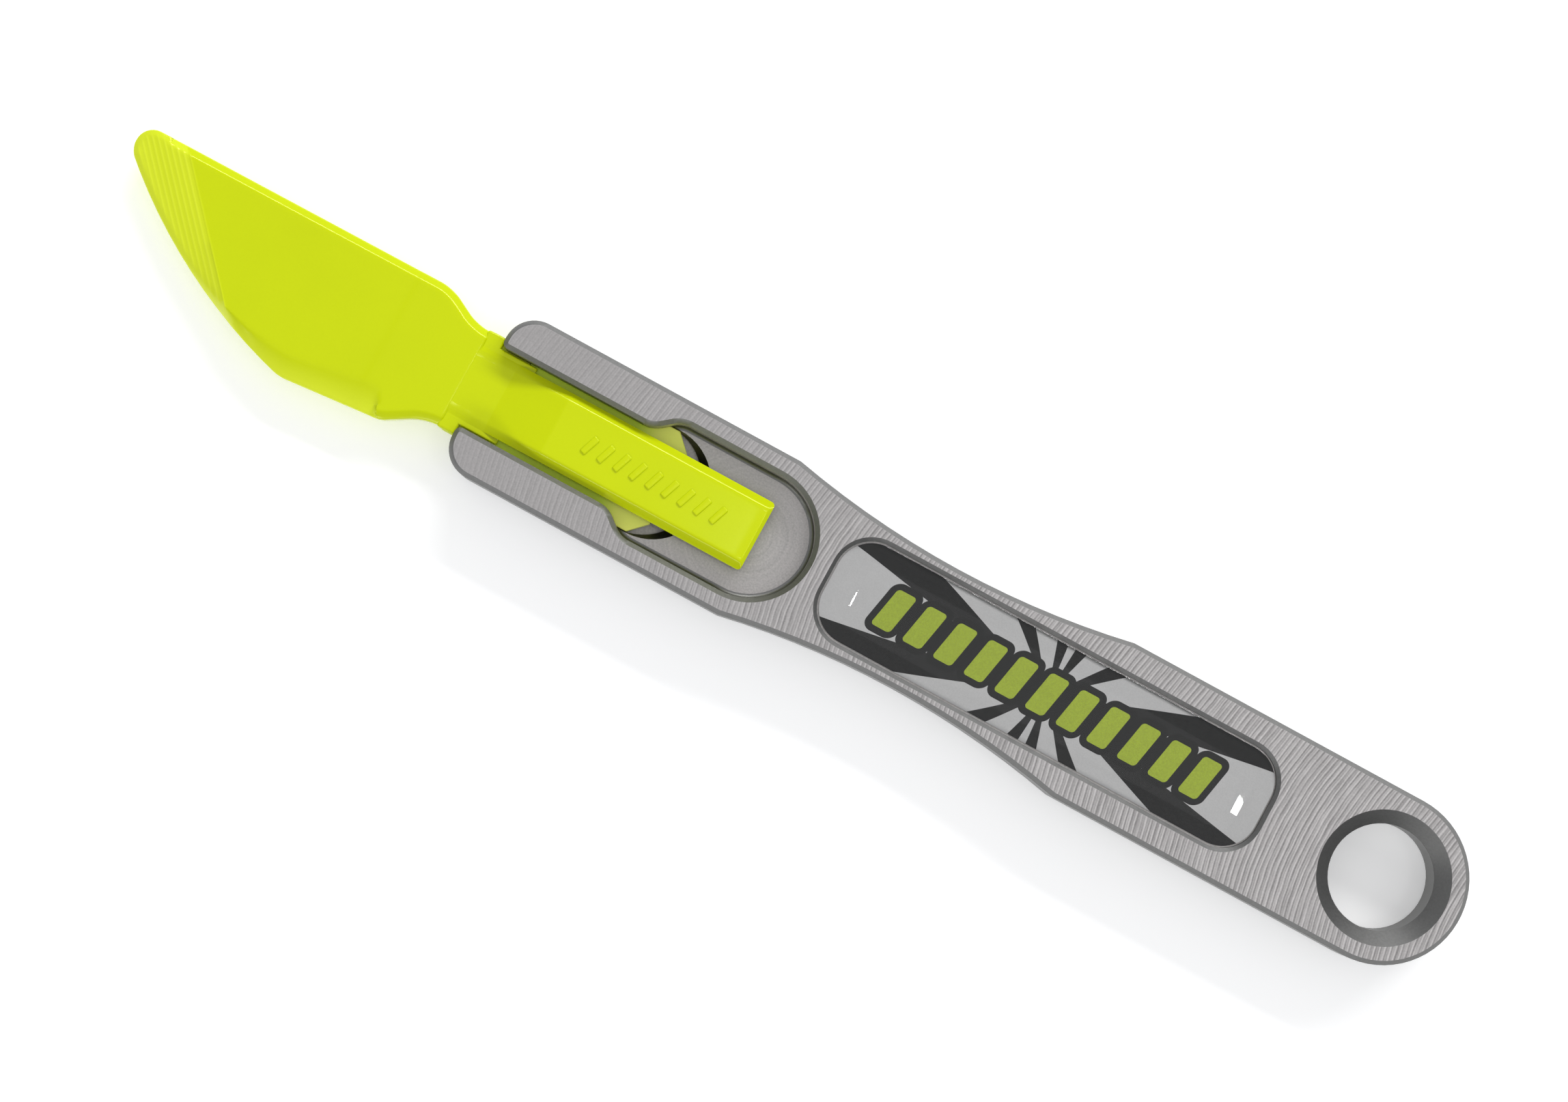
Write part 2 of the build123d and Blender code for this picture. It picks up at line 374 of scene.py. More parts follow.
def pocketFloor():
    material, tree, shader, place = newMaterial("pocketFloor", Metallic=1.0)
    centre = (prongTip - handleSize["pocketRoundAt"] * mm, 0, 0)
    shifted = add(tree, "VectorMath", {0: place, 1: centre}, operation="SUBTRACT").outputs[0]
    flat = add(tree, "VectorMath", {0: shifted, 1: (1, 1, 0)}, operation="MULTIPLY").outputs[0]
    away = add(tree, "VectorMath", {0: flat}, operation="LENGTH").outputs["Value"]
    ringPlace = add(tree, "CombineXYZ", {0: calc(tree, "MULTIPLY", away, 2200.0)}).outputs[0]
    rings = add(tree, "TexNoise", {"Vector": ringPlace, "Scale": 1.0, "Detail": 2.0}).outputs[0]
    speck = useGroup(tree, grain, {"Vector": place, "Size": 0.00025, "Contrast": 1.2})["Tone"]
    tone = calc(tree, "MULTIPLY_ADD", speck, 0.55, calc(tree, "MULTIPLY", rings, 0.45))
    metal = finishes["floorMetal"]
    colour = blendColours(tree, tone, shadeOf(metal, 0.5), shadeOf(metal, 1.5))
    tree.links.new(colour, shader.inputs["Base Color"])
    tree.links.new(calc(tree, "MULTIPLY_ADD", tone, 0.15, 0.42), shader.inputs["Roughness"])
    bumpInto(tree, shader, tone, 0.15, 0.00002)
    return material


def makeHandle():
    bm = bmesh.new()
    bm.from_mesh(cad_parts["handle"].data)
    bmesh.ops.remove_doubles(bm, verts=bm.verts[:], dist=0.0005 * mm)
    bmesh.ops.dissolve_limit(bm, angle_limit=radians(0.4), verts=bm.verts[:], edges=bm.edges[:])
    slack = handleSize["levelSlack"] * mm
    pocketCentre = Vector((prongTip - handleSize["pocketRoundAt"] * mm, 0, 0))
    for face in bm.faces:
        height = face.calc_center_median().z
        level = abs(face.normal.z) > 0.999
        outer = min(abs(height - handleHigh.z), abs(height - handleLow.z)) < slack
        face.material_index = 0 if level and outer else 2 if level else 1
        inward = pocketCentre - face.calc_center_median()
        inward.z = 0
        near = inward.length < handleSize["pocketReach"] * mm
        if abs(face.normal.z) < 0.2 and near and face.normal.dot(inward) > 0:
            face.material_index = 2
    outward = bm.edges.layers.float.new("bevel_weight_edge")
    for edge in bm.edges:
        turned = edge.calc_face_angle(0) > radians(handleSize["sharpFrom"])
        edge[outward] = 1.0 if edge.is_manifold and edge.is_convex and turned else 0.0
    handle = newPiece("handleBar", bm, milledFace(), shadedCutEdge(), pocketFloor())
    edges = handle.modifiers.new("edgeBreak", "BEVEL")
    edges.width = handleSize["edgeBreak"] * mm
    edges.segments = 2
    edges.limit_method = "WEIGHT"
    edges.material = -1
    settle(handle)
    softShade(handle, 24)
    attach(handle, "handle")
    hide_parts("handle")
    print("handle ready,", len(handle.data.polygons), "faces")


# blade insert, all in mm
bladeSize = {
    "spine": 9.4,
    "spineAtTip": 9.1,
    "noseFlat": 3.7,
    "noseRadius": 2.4,
    "edgeBulge": 2.1,
    "edgeSteps": 12,
    "bellyAt": 23.2,
    "belly": 11.04,
    "bellyRadius": 5.0,
    "heelAt": 9.2,
    "heel": 9.75,
    "neckAt": 4.3,
    "neck": 6.8,
    "shoulderRadius": 6.5,
    "heelRadius": 3.0,
    "rearAt": 0.7,
    "flangeAhead": 2.2,
    "neckTop": 5.4,
    "bladeTop": 5.26,
    "bottom": 2.6,
    "neckRiseAt": 13.4,
    "spineBevel": 1.0,
    "workBevel": 0.7,
    "bevelSoft": 0.1,
    "bevelSlope": 0.8,
    "workSlope": 0.5,
    "bottomRoll": 0.35,
    "edgeDrop": 1.3,
    "facetWidth": 6.4,
    "facetFrom": 2.7,  # spine line to the facet's corner on the nose
    "facetAngle": 41.8,
    "facetLead": 0.3,  # how far ahead of its line the facet's fine mesh starts
    "facetGlowShare": 0.6,  # how much of the painted glow of lit-through plastic the facet has at once
    "ridgePitch": 0.7,
    "ridgeHeight": 0.035,
    # paler colour on the ridge crests: painted highlight
    "ridgeHighlightShare": 0.4,
    "lipRadius": 0.14,  # where the top meets the rim
    "flangeRollLength": 0.5,
    "flangeRollDepth": 0.35,
    "thinnest": 0.15,
    "gridStep": 0.45,
    "neckCuts": (0, 0.03, 0.1, 0.2, 0.33, 0.5),  # finer where the neck rises from the flange
    "rings": (
        0.03, 0.08, 0.15, 0.4, 0.53, 0.62, 0.68, 0.74, 0.82, 0.89, 0.95, 1.0, 1.06, 1.15, 1.4
    ),
}

bellyBevel = {  # the bevel along the belly, which ends in a curved step
    "from": 10.8,
    "inner": 6.0,
    "spread": 0.18,
    "bendAt": 23,
    "innerAtBend": 8.2,
    "bend": 0.016,
    "stepAt": 10.9,
    "stepBow": 1.0,
    "stepFrom": 6,
    "stepWide": 3.7,
    "cutsFrom": 9.6,
    "cutPitch": 0.13,
    "cuts": 14,
}


def bladeCorners():
    size = bladeSize
    reach = (insertHigh.x - prongTip) / mm
    nose = Vector((reach, size["noseFlat"] - size["spineAtTip"]))
    belly = Vector((size["bellyAt"], size["belly"]))
    chord = belly - nose
    outward = Vector((-chord.y, chord.x)).normalized() * -1
    longEdge = []
    for i in range(1, size["edgeSteps"]):
        t = i / size["edgeSteps"]
        spot = nose + chord * t + outward * size["edgeBulge"] * 4 * t * (1 - t)
        longEdge.append((spot.x, spot.y, 0))
    shoulder = size["shoulderRadius"]
    return [
        (size["rearAt"], -size["neck"], 0),
        (size["neckAt"], -size["neck"], shoulder),
        (size["heelAt"], -size["spine"], shoulder),
        (reach, -size["spineAtTip"], size["noseRadius"]),
        (nose.x, nose.y, size["noseRadius"]),
        *longEdge,
        (belly.x, belly.y, size["bellyRadius"]),
        (size["heelAt"], size["heel"], size["heelRadius"]),
        (size["neckAt"], size["neck"], shoulder),
        (size["rearAt"], size["neck"], 0),
    ]


def reachOf(lines, x, y):  # distance in plan to the nearest of some straight lines
    nearest = 1e9
    for ax, ay, dx, dy, length2 in lines:
        t = min(max(((x - ax) * dx + (y - ay) * dy) / length2, 0), 1)
        nearest = min(nearest, hypot(x - ax - t * dx, y - ay - t * dy))
    return nearest


def pastFacetLine(ahead, y):
    size = bladeSize
    lean = radians(size["facetAngle"])
    reach = (insertHigh.x - prongTip) / mm
    fromCorner = y + size["spine"] - size["facetFrom"]
    return (ahead - reach) * cos(lean) + fromCorner * sin(lean) + size["facetWidth"]


def pastBellyLine(ahead, y):
    size = bellyBevel
    if ahead < size["bendAt"]:
        inner = size["inner"] + (ahead - size["from"]) * size["spread"]
    else:
        inner = size["innerAtBend"] - size["bend"] * (ahead - size["bendAt"]) ** 2
    bow = (max(y - size["stepFrom"], 0) / size["stepWide"]) ** 2
    stepAt = size["stepAt"] - size["stepBow"] * bow
    return (y - inner) * smoothStep(stepAt - 0.12, stepAt + 0.25, ahead)


def bladeHeights(ahead, y, rim, toEdge):
    size = bladeSize
    facet = pastFacetLine(ahead, y)
    beyond = max(facet, pastBellyLine(ahead, y))
    thinnessAndGlow = beyond / (beyond + max(toEdge, 0.001)) if beyond > 0 else 0
    level = size["bladeTop"] + (size["neckTop"] - size["bladeTop"]) * smoothStep(
        size["neckRiseAt"] + 0.9, size["neckRiseAt"] - 0.9, ahead
    )
    onBelly = smoothStep(4, 6, y) * smoothStep(34, 30, ahead) * smoothStep(9.5, 11, ahead)
    top = level - size["edgeDrop"] * (1 - 0.35 * onBelly) * thinnessAndGlow**1.1
    crest = 0
    lead = size["facetLead"]
    if facet > -lead:
        crest = (0.5 + 0.5 * cos(2 * pi * facet / size["ridgePitch"])) ** 3
        crest *= smoothStep(0.3, 1.2, rim) * smoothStep(-lead, 0.0, facet)
        top += size["ridgeHeight"] * crest
    spineSide = smoothStep(-2.0, -7.0, y) if ahead > 10 else 1
    if ahead > 10:
        spineSide *= smoothStep(51.5, 47.5, ahead)
    bevelAt = size["workBevel"] + (size["spineBevel"] - size["workBevel"]) * spineSide
    slope = size["bevelSlope"] if y < 0 and spineSide > 0.5 else size["workSlope"]
    top -= softRamp(bevelAt - rim, size["bevelSoft"]) * slope * (1 - onBelly)
    top -= rollOver(rim, size["lipRadius"], size["lipRadius"])
    past = ahead - size["flangeAhead"]
    top -= rollOver(past, size["flangeRollLength"], size["flangeRollDepth"])
    bottom = size["bottom"] + 0.3 * thinnessAndGlow + rollOver(rim, size["bottomRoll"], size["bottomRoll"])
    # the third value is painted light: thinner plastic and the facet are painted paler for light
    # shining through, ridge crests paler as a painted highlight
    tone = max(thinnessAndGlow, size["facetGlowShare"] * smoothStep(0.0, lead, facet))
    tone += size["ridgeHighlightShare"] * crest
    return max(top, bottom + size["thinnest"]), bottom, min(tone, 1)


def cutAcross(bm, faces, point, normal):
    geom = set(faces)
    for face in faces:
        geom.update(face.edges)
        geom.update(face.verts)
    bmesh.ops.bisect_plane(bm, geom=list(geom), dist=1e-4, plane_co=point, plane_no=normal)


def bladeShape():
    size = bladeSize
    bm = roundedPlan(bladeCorners())
    rimLines, edgeLines = [], []
    for edge in bm.edges:
        (ax, ay), (bx, by) = [v.co.xy for v in edge.verts]
        line = (ax, ay, bx - ax, by - ay, max((bx - ax) ** 2 + (by - ay) ** 2, 1e-9))
        midX, midY = (ax + bx) / 2, (ay + by) / 2
        if midX > size["rearAt"] + 0.01:
            rimLines.append(line)
        if midX > size["heelAt"] and (midY > 4 or (midX > 30 and midY > -5.6)):
            edgeLines.append(line)

    inner = bm.faces[:][0]
    done = 0.0
    for ring in size["rings"]:  # rings beside the rim carry its rounding
        bmesh.ops.inset_region(
            bm, faces=[inner], thickness=ring - done, depth=0,
            use_even_offset=True, use_boundary=True,
        )
        done = ring
    inner.material_index = 1

    lean = radians(size["facetAngle"])
    across = Vector((cos(lean), sin(lean), 0))
    along = Vector((-sin(lean), cos(lean), 0))
    reach = (insertHigh.x - prongTip) / mm
    corner = Vector((reach, size["facetFrom"] - size["spine"], 0))
    lead = size["facetLead"]
    cutAcross(bm, bm.faces[:], corner - across * (size["facetWidth"] + lead), across)

    def onFacet(face):
        spot = face.calc_center_median()
        return pastFacetLine(spot.x, spot.y) > -lead

    step = size["gridStep"]
    for i in range(1, int(reach / step)):
        plain = [f for f in bm.faces if not onFacet(f)]
        cutAcross(bm, plain, (size["flangeAhead"] + i * step, 0, 0), (1, 0, 0))
    for extra in size["neckCuts"]:
        cutAcross(bm, bm.faces[:], (size["flangeAhead"] + extra, 0, 0), (1, 0, 0))

    def besideStep(face):
        spot = face.calc_center_median()
        return spot.y > 4 and 9 < spot.x < 12

    for i in range(bellyBevel["cuts"]):
        at = bellyBevel["cutsFrom"] + i * bellyBevel["cutPitch"]
        cutAcross(bm, [f for f in bm.faces if besideStep(f)], (at, 0, 0), (1, 0, 0))
    for i in range(int(-11 / step), int(11 / step) + 1):
        middle = [f for f in bm.faces if f.material_index == 1 and not onFacet(f)]
        cutAcross(bm, middle, (0, (i + 0.37) * step, 0), (0, 1, 0))
    fine = size["ridgePitch"] / 8
    for i in range(-3, int(size["facetWidth"] / fine) + 2):
        at = corner + across * (i * fine - size["facetWidth"])
        cutAcross(bm, [f for f in bm.faces if onFacet(f)], at, across)
    for i in range(-22, 23):
        cutAcross(bm, [f for f in bm.faces if onFacet(f)], corner + along * i * 0.7, along)

    topLayer = bm.verts.layers.float.new("topHeight")
    bottomLayer = bm.verts.layers.float.new("bottomHeight")
    paintedGlowLayer = bm.verts.layers.float.new("thinnessAndGlow")
    for vert in bm.verts:
        x, y = vert.co.x, vert.co.y
        shape = bladeHeights(x, y, reachOf(rimLines, x, y), reachOf(edgeLines, x, y))
        vert[topLayer], vert[bottomLayer], vert[paintedGlowLayer] = shape
    for face in bm.faces:
        face.material_index = 0
    out = bmesh.ops.extrude_face_region(bm, geom=bm.faces[:], use_keep_orig=True)
    upper = {v for v in out["geom"] if isinstance(v, bmesh.types.BMVert)}
    for vert in bm.verts:
        vert.co.z = vert[topLayer] if vert in upper else vert[bottomLayer]
    bm.verts.layers.float.remove(topLayer)
    bm.verts.layers.float.remove(bm.verts.layers.float["bottomHeight"])
    bmesh.ops.recalc_face_normals(bm, faces=bm.faces[:])
    return toFrame(bm)


# tongue, rails and ribs, all in mm
tongueSize = {
    "half": 4.82,
    "top": 7.2,
    "bottom": 4.8,
    "rootTop": 5.33,
    "rootAhead": 3.2,
    "sideRoll": 1.6,
    "endRoll": 0.55,
    "sideBevel": 1.06,
    "endBevel": 0.5,
    "bevelSlope": 0.8,
    "rampStart": 2.9,  # behind the prong tips
    "rampEnd": 10.8,
    "turnCut": 0.12,  # finer where the ramp starts and ends
    "flatHalf": 2.2,
    "railHalf": 7.04,
    "railBottom": 1.7,
    "railTop": 4.3,
    "railEnd": 5.2,
    "flangeHalf": 6.95,
    "flangeTop": 5.15,
    "shoulderHalf": 5.5,
    "webEnd": 8.0,
    "webHalf": 4.2,
    "flangeGap": 0.12,  # to the prong tips
    "ribCount": 9,
    "ribFirst": 15.8,
    "ribPitch": 2.3,
    "ribWidth": 0.9,
    "ribReach": 2.7,
    "ribHeight": 0.2,
    "ribSlant": -20.0,
}


def tongueShape():
    size = tongueSize
    end = (insertLow.x - prongTip) / mm
    bm = bmesh.new()
    bmesh.ops.create_cube(bm, size=1)
    full = size["top"] - size["bottom"]
    middle = ((size["rootAhead"] + end) / 2, 0, (size["top"] + size["bottom"]) / 2)
    bmesh.ops.scale(bm, vec=(size["rootAhead"] - end, 2 * size["half"], full), verts=bm.verts[:])
    bmesh.ops.translate(bm, vec=middle, verts=bm.verts[:])

    def onSide(edge):
        first, second = edge.verts
        high = min(first.co.z, second.co.z) > size["top"] - 0.01
        return high and abs(first.co.x - second.co.x) > 1

    def onEnd(edge):
        low = max(v.co.z for v in edge.verts) <= size["bottom"] + 0.01
        return not low and all(v.co.x < end + 0.01 for v in edge.verts)

    roundEdges(bm, [e for e in bm.edges if onSide(e)], size["sideRoll"], 18)
    roundEdges(bm, [e for e in bm.edges if onEnd(e)], size["endRoll"], 5)
    for turn in (size["rampStart"], size["rampEnd"]):
        for i in range(-3, 4):
            cutAcross(bm, bm.faces[:], (-turn - i * size["turnCut"], 0, 0), (1, 0, 0))
    for i in range(1, int(-end)):
        cutAcross(bm, bm.faces[:], (-i, 0, 0), (1, 0, 0))
    for side in (-size["flatHalf"], size["flatHalf"]):
        cutAcross(bm, bm.faces[:], (0, side, 0), (0, 1, 0))
    rise = size["top"] - size["rootTop"]
    for vert in bm.verts:
        back = -vert.co.x
        up = softRamp(back - size["rampStart"], 0.07) - softRamp(back - size["rampEnd"], 0.07)
        height = full - rise * (1 - up / (size["rampEnd"] - size["rampStart"]))
        share = (vert.co.z - size["bottom"]) / full
        if share > 0.2:
            fromSide = softRamp(size["sideBevel"] - size["half"] + abs(vert.co.y), 0.09)
            fromEnd = softRamp(size["endBevel"] - vert.co.x + end, 0.07)
            share = 1 - max(fromSide, fromEnd) * size["bevelSlope"] / full
        vert.co.z = size["bottom"] + height * share
    return toFrame(bm)


def limePlastic(name, deep=False):
    material, tree, shader, place = newMaterial(
        name, Specular_IOR_Level=0.42, IOR=1.5, Specular_Tint=(1, 1, 0.45, 1)
    )
    flow = add(tree, "TexNoise", {"Vector": place, "Scale": 70.0, "Detail": 3.0}).outputs[0]
    speck = useGroup(tree, grain, {"Vector": place, "Size": 0.0003, "Contrast": 1.0})["Tone"]
    tone = calc(tree, "MULTIPLY_ADD", speck, 0.35, calc(tree, "MULTIPLY", flow, 0.65))
    if deep:  # arms: painted light, greener and brightened down in the groove for shade and bounce light there, paler at the heads where more light reaches
        along = add(tree, "SeparateXYZ", {0: place}).outputs[0]
        head = add(
            tree, "MapRange",
            {
                "Value": along,
                "From Min": prongTip - armSize["headLightFrom"] * mm,
                "From Max": prongTip - armSize["headLightTo"] * mm,
            },
            interpolation_type="SMOOTHSTEP",
        ).outputs[0]
        body = blendColours(tree, head, finishes["limeGroovePaintedLight"], finishes["limeHeadPaintedLight"])
    else:
        # painted glow and ridge highlights, read from the blade's attribute
        thinnessAndGlow = add(tree, "Attribute", attribute_name="thinnessAndGlow").outputs["Fac"]
        body = blendColours(tree, thinnessAndGlow, finishes["lime"], finishes["limePaintedGlow"])
    shade = calc(tree, "MULTIPLY_ADD", tone, 0.14, 0.93)
    colour = add(tree, "VectorMath", {0: body, "Scale": shade}, operation="SCALE").outputs[0]
    tree.links.new(colour, shader.inputs["Base Color"])
    tree.links.new(calc(tree, "MULTIPLY_ADD", speck, 0.08, 0.12), shader.inputs["Roughness"])
    bumpInto(tree, shader, speck, 0.1, 0.00002)
    return material


def makeBladeInsert():
    size = tongueSize
    insert = newPiece("bladeInsert", bladeShape(), limePlastic("limePlastic"))
    joinShapes(insert, newPiece("tongue", tongueShape()), "UNION")
    ahead = bladeSize["flangeAhead"] + 0.1
    under, railEnd = size["railBottom"], size["railEnd"]
    blocks = (  # back, front, half width, bottom, top, rounding
        (-railEnd, ahead - 0.3, size["railHalf"], under, size["railTop"], 0.25),
        (size["flangeGap"], ahead + 0.3, size["flangeHalf"], under + 0.02, size["flangeTop"], 0.3),
        (
            -railEnd - 0.02, ahead - 0.5, size["shoulderHalf"],
            under + 0.3, size["flangeTop"] - 0.01, 0.2,
        ),
        (-size["webEnd"], -railEnd + 1, size["webHalf"], under + 0.05, size["bottom"] + 0.4, 0.15),
    )
    for back, front, half, bottom, top, rounding in blocks:
        block = toFrame(boxShape((back, -half, bottom), (front, half, top), rounding))
        joinShapes(insert, newPiece("block", block), "UNION")
    for side in (1, -1):  # round seats for the roots of the snap arms
        bm = bmesh.new()
        radius = armSize["width"] / 2 + 0.05
        bmesh.ops.create_cone(
            bm, cap_ends=True, segments=40, radius1=radius, radius2=radius, depth=3
        )
        at = (-railEnd, side * (armSize["outer"] - armSize["width"] / 2), size["railTop"] - 1.48)
        bmesh.ops.translate(bm, vec=at, verts=bm.verts[:])
        joinShapes(insert, newPiece("seat", toFrame(bm)), "DIFFERENCE")
    half, long = size["ribWidth"] / 2, size["ribReach"] / 2
    slant = Matrix.Rotation(radians(size["ribSlant"]), 3, "Z")
    for number in range(size["ribCount"]):
        bm = boxShape((-half, -long, -0.6), (half, long, size["ribHeight"]), 0.18)
        bmesh.ops.rotate(bm, matrix=slant, verts=bm.verts[:])
        at = (-(size["ribFirst"] + number * size["ribPitch"]), 0, size["top"])
        bmesh.ops.translate(bm, vec=at, verts=bm.verts[:])
        joinShapes(insert, newPiece("rib", toFrame(bm)), "UNION")
    thinnessAndGlow = insert.data.attributes["thinnessAndGlow"].data
    for vert in insert.data.vertices:  # unions leave stray painted-glow values away from the blade
        if vert.co.x < prongTip + bladeSize["heelAt"] * mm:
            thinnessAndGlow[vert.index].value = 0
    softShade(insert, 38)
    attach(insert, "insert")
    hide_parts("blade_insert")
    print("blade insert ready,", len(insert.data.polygons), "faces")


# snap arms, in mm
armSize = {
    "outer": 6.9,
    "width": 2.4,
    "headHalf": 7.23,
    "headLength": 3.5,
    "headLead": 1.2,
    "headNose": 2.4,
    "noseBlunt": 1.2,
    "rounding": 0.2,
    "headLightFrom": 19.5,  # behind the prong tips, where the painted light on the arms turns paler
    "headLightTo": 23.0,
}


def makeSnapArm(side, name, node, body, plastic):
    size = armSize
    low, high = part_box(node)
    noseEnd = (low.x - prongTip) / mm
    stop = noseEnd + size["headNose"]
    start = stop + size["headLength"]
    inner = size["outer"] - size["width"]
    root = -tongueSize["railEnd"] + size["width"] / 2
    corners = [
        (root, size["outer"], size["width"] / 2 - 0.01),
        (start, size["outer"], 1.5),
        (start - size["headLead"], size["headHalf"], 0.8),
        (stop, size["headHalf"], 0.3),
        (noseEnd, size["headHalf"] - size["headNose"], 0.3),
        (noseEnd + size["noseBlunt"], inner - size["noseBlunt"] / 2, 0.4),
        (start, inner, 1.5),
        (root, inner, size["width"] / 2 - 0.01),
    ]
    if side < 0:
        corners = [(x, -y, r) for x, y, r in reversed(corners)]
    bm = roundedPlan(corners, 6)
    slab(bm, low.z / mm, high.z / mm)
    rims = [e for e in bm.edges if abs(e.verts[0].co.z - e.verts[1].co.z) < 1e-5]
    roundEdges(bm, rims, size["rounding"])
    arm = newPiece(name, toFrame(bm), plastic)
    softShade(arm, 40)
    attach(arm, body)
    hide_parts(node)
    print(name, "ready,", len(arm.data.polygons), "faces")


# label, in mm
labelSize = {
    "radius": 4.65,
    "rays": ((0.08, 0.31), (0.78, 1.18), (2.75, 5.95)),  # dark where |x| over |y| is between
    "barCount": 11,
    "barPitch": 4.4,
    "barHalfWide": 1.35,
    "barHalfTall": 2.75,
    "barRound": 0.5,
    "barSlant": -0.2,
    "outline": 0.86,
    "domeRim": 0.2,
    "domeRings": 18,
    "domeReach": 4.4,
    "domeFullness": 2.6,
}


def printedFilm():
    size = labelSize
    material, tree, shader, place = newMaterial("printedFilm", Roughness=0.5)
    centre = (filmLow + filmHigh) / 2
    shifted = add(tree, "VectorMath", {0: place, 1: tuple(centre)}, operation="SUBTRACT").outputs[0]
    inMm = add(tree, "VectorMath", {0: shifted, "Scale": 1 / mm}, operation="SCALE").outputs[0]
    axes = add(tree, "SeparateXYZ", {0: inMm}).outputs
    sideways = calc(tree, "ABSOLUTE", axes[0])
    upward = calc(tree, "MAXIMUM", calc(tree, "ABSOLUTE", axes[1]), 0.01)
    ratio = calc(tree, "DIVIDE", sideways, upward)
    rays = 0.0
    for low, high in size["rays"]:
        rays = calc(tree, "ADD", rays, inside(tree, ratio, low, high))
    speck = useGroup(tree, grain, {"Vector": place, "Size": 0.00018, "Contrast": 2.6})["Tone"]
    dark, pale, lime = finishes["filmDark"], finishes["filmPale"], finishes["filmLime"]
    ink = blendColours(tree, speck, shadeOf(dark, 0.4), shadeOf(dark, 1.8))
    paper = blendColours(tree, speck, shadeOf(pale, 0.96), shadeOf(pale, 1.04))
    colour = blendColours(tree, rays, paper, ink)

    pitch, rounding = size["barPitch"], size["barRound"]
    slanted = calc(tree, "MULTIPLY_ADD", axes[1], size["barSlant"], axes[0])
    limit = (size["barCount"] - 1) / 2 * pitch
    offset = pitch / 2 * (size["barCount"] % 2)
    farOff = pitch * 20  # keeps every cell's number above nought
    shiftedRow = calc(tree, "ADD", slanted, offset + farOff)
    cell = calc(tree, "FLOOR", calc(tree, "DIVIDE", shiftedRow, pitch))
    cellCentre = calc(tree, "MULTIPLY_ADD", cell, pitch, pitch / 2 - offset - farOff)
    held = calc(tree, "MAXIMUM", calc(tree, "MINIMUM", cellCentre, limit), -limit)
    fromBar = calc(tree, "ABSOLUTE", calc(tree, "SUBTRACT", slanted, held))
    outX = calc(tree, "SUBTRACT", fromBar, size["barHalfWide"] - rounding)
    outY = calc(tree, "SUBTRACT", calc(tree, "ABSOLUTE", axes[1]), size["barHalfTall"] - rounding)
    overX, overY = calc(tree, "MAXIMUM", outX, 0.0), calc(tree, "MAXIMUM", outY, 0.0)
    positive = add(tree, "CombineXYZ", {0: overX, 1: overY}).outputs[0]
    away = add(tree, "VectorMath", {0: positive}, operation="LENGTH").outputs["Value"]
    edge = calc(tree, "SUBTRACT", away, rounding)
    black = calc(tree, "LESS_THAN", edge, size["outline"])
    colour = blendColours(tree, black, colour, finishes["filmBlack"])
    filled = calc(tree, "LESS_THAN", edge, 0.0)
    bar = blendColours(tree, speck, shadeOf(lime, 0.9), shadeOf(lime, 1.1))
    colour = blendColours(tree, filled, colour, bar)
    tree.links.new(colour, shader.inputs["Base Color"])
    return material


def stickyLayer():
    material, tree, shader, place = newMaterial("adhesiveLayer", Roughness=0.7)
    speck = useGroup(tree, grain, {"Vector": place, "Size": 0.0005, "Contrast": 0.8})["Tone"]
    backing = finishes["backing"]
    colour = blendColours(tree, speck, shadeOf(backing, 0.9), shadeOf(backing, 1.1))
    tree.links.new(colour, shader.inputs["Base Color"])
    bumpInto(tree, shader, speck, 0.2, 0.00004)
    return material


def clearResin():
    material, tree, shader, place = newMaterial(
        "clearResin", Base_Color=(1, 1, 1, 1), IOR=1.5, Transmission_Weight=1.0,
        Specular_IOR_Level=0.35,
    )
    haze = add(tree, "TexNoise", {"Vector": place, "Scale": 90.0, "Detail": 2.0}).outputs[0]
    tree.links.new(calc(tree, "MULTIPLY_ADD", haze, 0.03, 0.0), shader.inputs["Roughness"])
    forShadows = add(tree, "MixShader", {0: add(tree, "LightPath").outputs["Is Shadow Ray"]})
    tree.links.new(shader.outputs[0], forShadows.inputs[1])
    tree.links.new(add(tree, "BsdfTransparent").outputs[0], forShadows.inputs[2])
    tree.links.new(forShadows.outputs[0], tree.nodes["Material Output"].inputs["Surface"])
    return material


def labelPlan(low, high):
    radius = labelSize["radius"]
    centre = (low + high) / 2
    x, y = (high.x - low.x) / 2 / mm, (high.y - low.y) / 2 / mm
    bm = roundedPlan([(-x, -y, radius), (x, -y, radius), (x, y, radius), (-x, y, radius)], 14)
    return bm, (centre.x, centre.y, 0)


def atCentre(bm, centre):
    bmesh.ops.scale(bm, vec=(mm, mm, mm), verts=bm.verts[:])
    bmesh.ops.translate(bm, vec=centre, verts=bm.verts[:])
    return bm


def makeLabelLayer(name, node, material):
    low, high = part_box(node)
    bm, centre = labelPlan(low, high)
    slab(bm, low.z / mm, high.z / mm)
    layer = newPiece(name, atCentre(bm, centre), material)
    softShade(layer, 30)
    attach(layer, "handle")
    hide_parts(node)
    print(name, "ready")


